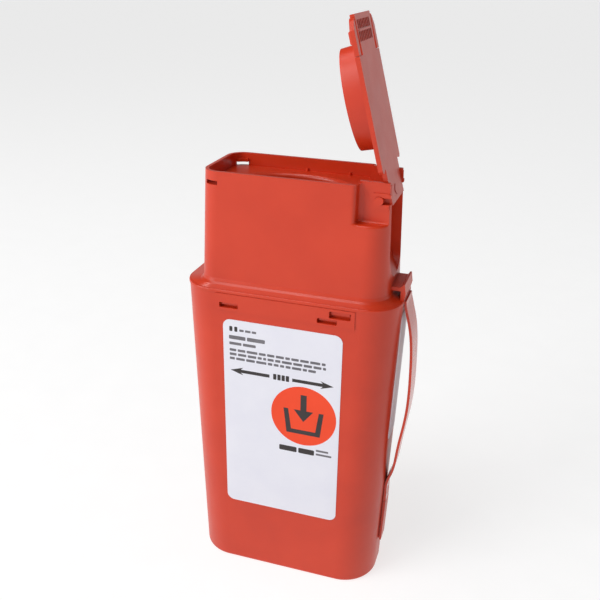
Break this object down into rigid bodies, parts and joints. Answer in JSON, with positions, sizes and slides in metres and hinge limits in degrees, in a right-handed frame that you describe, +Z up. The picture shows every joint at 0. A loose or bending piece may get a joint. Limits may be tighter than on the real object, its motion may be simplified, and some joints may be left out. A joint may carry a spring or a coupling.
{
  "type": "sharps container",
  "caption": "Upright transportable sharps container: drafted tub, clip-fitted necked cover with an oval drop hole, hinged stopper lid and a bowed carry strap.",
  "frame": {"origin": "centre of the flat base the container stands on", "axes": "+Z up, +X towards the hinge and carry strap, -Y towards the front label"},
  "size_m": [0.1232, 0.0538, 0.3112],
  "materials": {
    "red_plastic": "satin orange-red injection-moulded polypropylene",
    "label_film": "smooth white printed label film"
  },
  "bodies": {
    "housing": {"container_body": "red_plastic", "neck_cover": "red_plastic", "carry_strap": "red_plastic", "front_label": "label_film", "end_label": "label_film"},
    "lid": {"lid": "red_plastic"},
    "latch_front": {"lid_latch_front": "red_plastic"},
    "latch_back": {"lid_latch_back": "red_plastic"}
  },
  "joints": [
    {"name": "lid_hinge", "type": "hinge", "parent": "housing", "child": "lid", "pos_m": [0.044, 0, 0.2287], "axis": [0, 1, 0], "range_deg": [-74.9, 147]},
    {"name": "latch_flex_front", "type": "hinge", "parent": "lid", "child": "latch_front", "pos_m": [0.03091, -0.0183, 0.29373], "axis": [-0.9655, 0, -0.2605], "range_deg": [0, 5], "stiffness_Nm_per_rad": 0.02},
    {"name": "latch_flex_back", "type": "hinge", "parent": "lid", "child": "latch_back", "pos_m": [0.03091, 0.0183, 0.29373], "axis": [0.9655, 0, 0.2605], "range_deg": [0, 5], "stiffness_Nm_per_rad": 0.02}
  ]
}
